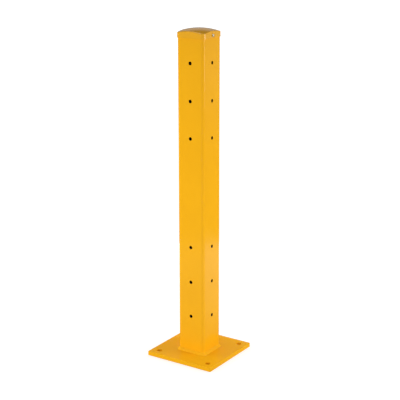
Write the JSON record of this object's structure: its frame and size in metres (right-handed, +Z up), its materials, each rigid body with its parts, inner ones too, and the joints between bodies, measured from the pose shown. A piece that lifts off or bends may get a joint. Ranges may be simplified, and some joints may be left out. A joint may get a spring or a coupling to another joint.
{
  "type": "guard rail bollard post",
  "caption": "Square powder coated steel post on an anchored base plate, drilled for bolted guard rails, with a domed cap.",
  "frame": {"origin": "centre of the base plate's underside, on the floor", "axes": "+Z up along the post, +X and +Y square to its faces; the cap screws are on the +X and -X faces"},
  "size_m": [0.254, 0.254, 1.1074],
  "materials": {
    "yellow_powder_coat": "semi-gloss powder coat with a light orange peel",
    "zinc_plate": "bright zinc plate"
  },
  "bodies": {
    "root": {"base_plate": "yellow_powder_coat", "post_tube": "yellow_powder_coat", "base_weld": "yellow_powder_coat", "post_cap": "yellow_powder_coat", "cap_screws": "zinc_plate"}
  },
  "joints": []
}
